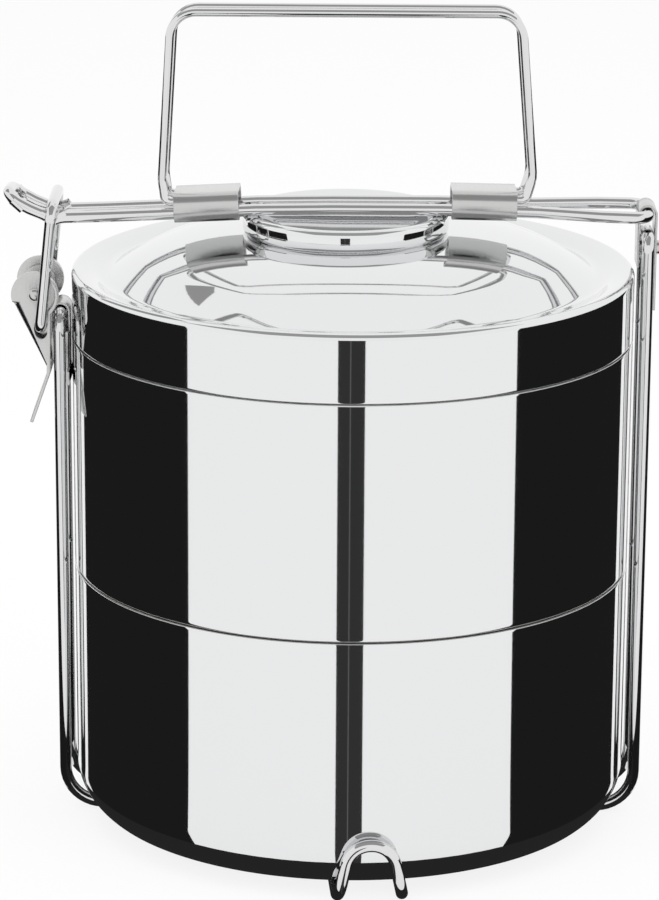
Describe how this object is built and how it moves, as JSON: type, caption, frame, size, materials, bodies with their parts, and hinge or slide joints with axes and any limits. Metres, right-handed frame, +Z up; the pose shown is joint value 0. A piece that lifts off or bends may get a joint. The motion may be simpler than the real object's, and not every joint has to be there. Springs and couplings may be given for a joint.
{
  "type": "insulated tiffin box",
  "caption": "Stacked round insulated food containers with a domed lid, clamped in a wire frame by a hinged top bar with a carrying handle and an over-centre latch.",
  "frame": {"origin": "on the surface the frame stands on, under the middle of the whole box's width and depth", "axes": "+X to the hinge side, -X to the latch side, -Y to the front, +Z up"},
  "size_m": [0.1631, 0.1486, 0.2061],
  "materials": {
    "polished_steel": "mirror-polished stainless steel sheet",
    "satin_steel": "satin stainless steel sheet",
    "steel_wire": "bright drawn stainless steel wire",
    "inner_steel": "bright pressed stainless steel",
    "foam": "rigid foam filling",
    "silicone": "translucent white silicone rubber"
  },
  "bodies": {
    "frame": {"side_wire_loop": "steel_wire", "foot_wire_loop": "steel_wire", "hinge_strap": "satin_steel", "hinge_rivet": "satin_steel", "latch_bracket": "satin_steel", "latch_pivot_rivet": "satin_steel"},
    "top_bar": {"top_bar_loop": "steel_wire", "sleeve_left": "satin_steel", "sleeve_right": "satin_steel", "bail_wire_front": "steel_wire", "bail_wire_back": "steel_wire"},
    "lever": {"latch_lever": "satin_steel"},
    "link": {"latch_link": "steel_wire"},
    "lid": {"lid_outer_shell": "polished_steel", "lid_inner_pan": "inner_steel", "lid_insulation": "foam", "lid_gasket": "silicone", "lid_knob": "polished_steel", "knob_stud": "inner_steel", "knob_washer": "inner_steel", "knob_nut": "inner_steel"},
    "upper_container": {"upper_outer_shell": "polished_steel", "upper_inner_bowl": "inner_steel", "upper_insulation": "foam", "upper_base_disc": "inner_steel", "upper_gasket": "silicone"},
    "lower_container": {"lower_outer_shell": "polished_steel", "lower_inner_bowl": "inner_steel", "lower_insulation": "foam", "lower_base_disc": "satin_steel"}
  },
  "joints": [
    {"name": "bar_swing", "type": "hinge", "parent": "frame", "child": "top_bar", "pos_m": [0.07765, 0, 0.15562], "axis": [0, 1, 0], "range_deg": [0, 110]},
    {"name": "lever_swing", "type": "hinge", "parent": "frame", "child": "lever", "pos_m": [-0.07365, 0, 0.1353], "axis": [0, 1, 0], "range_deg": [0, 95]},
    {"name": "link_swing", "type": "hinge", "parent": "lever", "child": "link", "pos_m": [-0.07225, 0, 0.1273], "axis": [0, 1, 0], "range_deg": [-74.1, 0]},
    {"name": "lid_lift", "type": "slide", "parent": "frame", "child": "lid", "axis": [0, 0, 1], "range_m": [0, 0.0269]},
    {"name": "upper_container_lift", "type": "slide", "parent": "frame", "child": "upper_container", "axis": [0, 0, 1], "range_m": [0, 0.0154]},
    {"name": "lower_container_lift", "type": "slide", "parent": "frame", "child": "lower_container", "axis": [0, 0, 1], "range_m": [0, 0.0048]}
  ],
  "couplings": [
    {"joint": "link_swing", "follows": "lever_swing", "ratio": -0.78},
    {"joint": "lid_lift", "follows": "bar_swing", "m_per_rad": 0.014},
    {"joint": "upper_container_lift", "follows": "bar_swing", "m_per_rad": 0.008},
    {"joint": "lower_container_lift", "follows": "bar_swing", "m_per_rad": 0.0025}
  ]
}
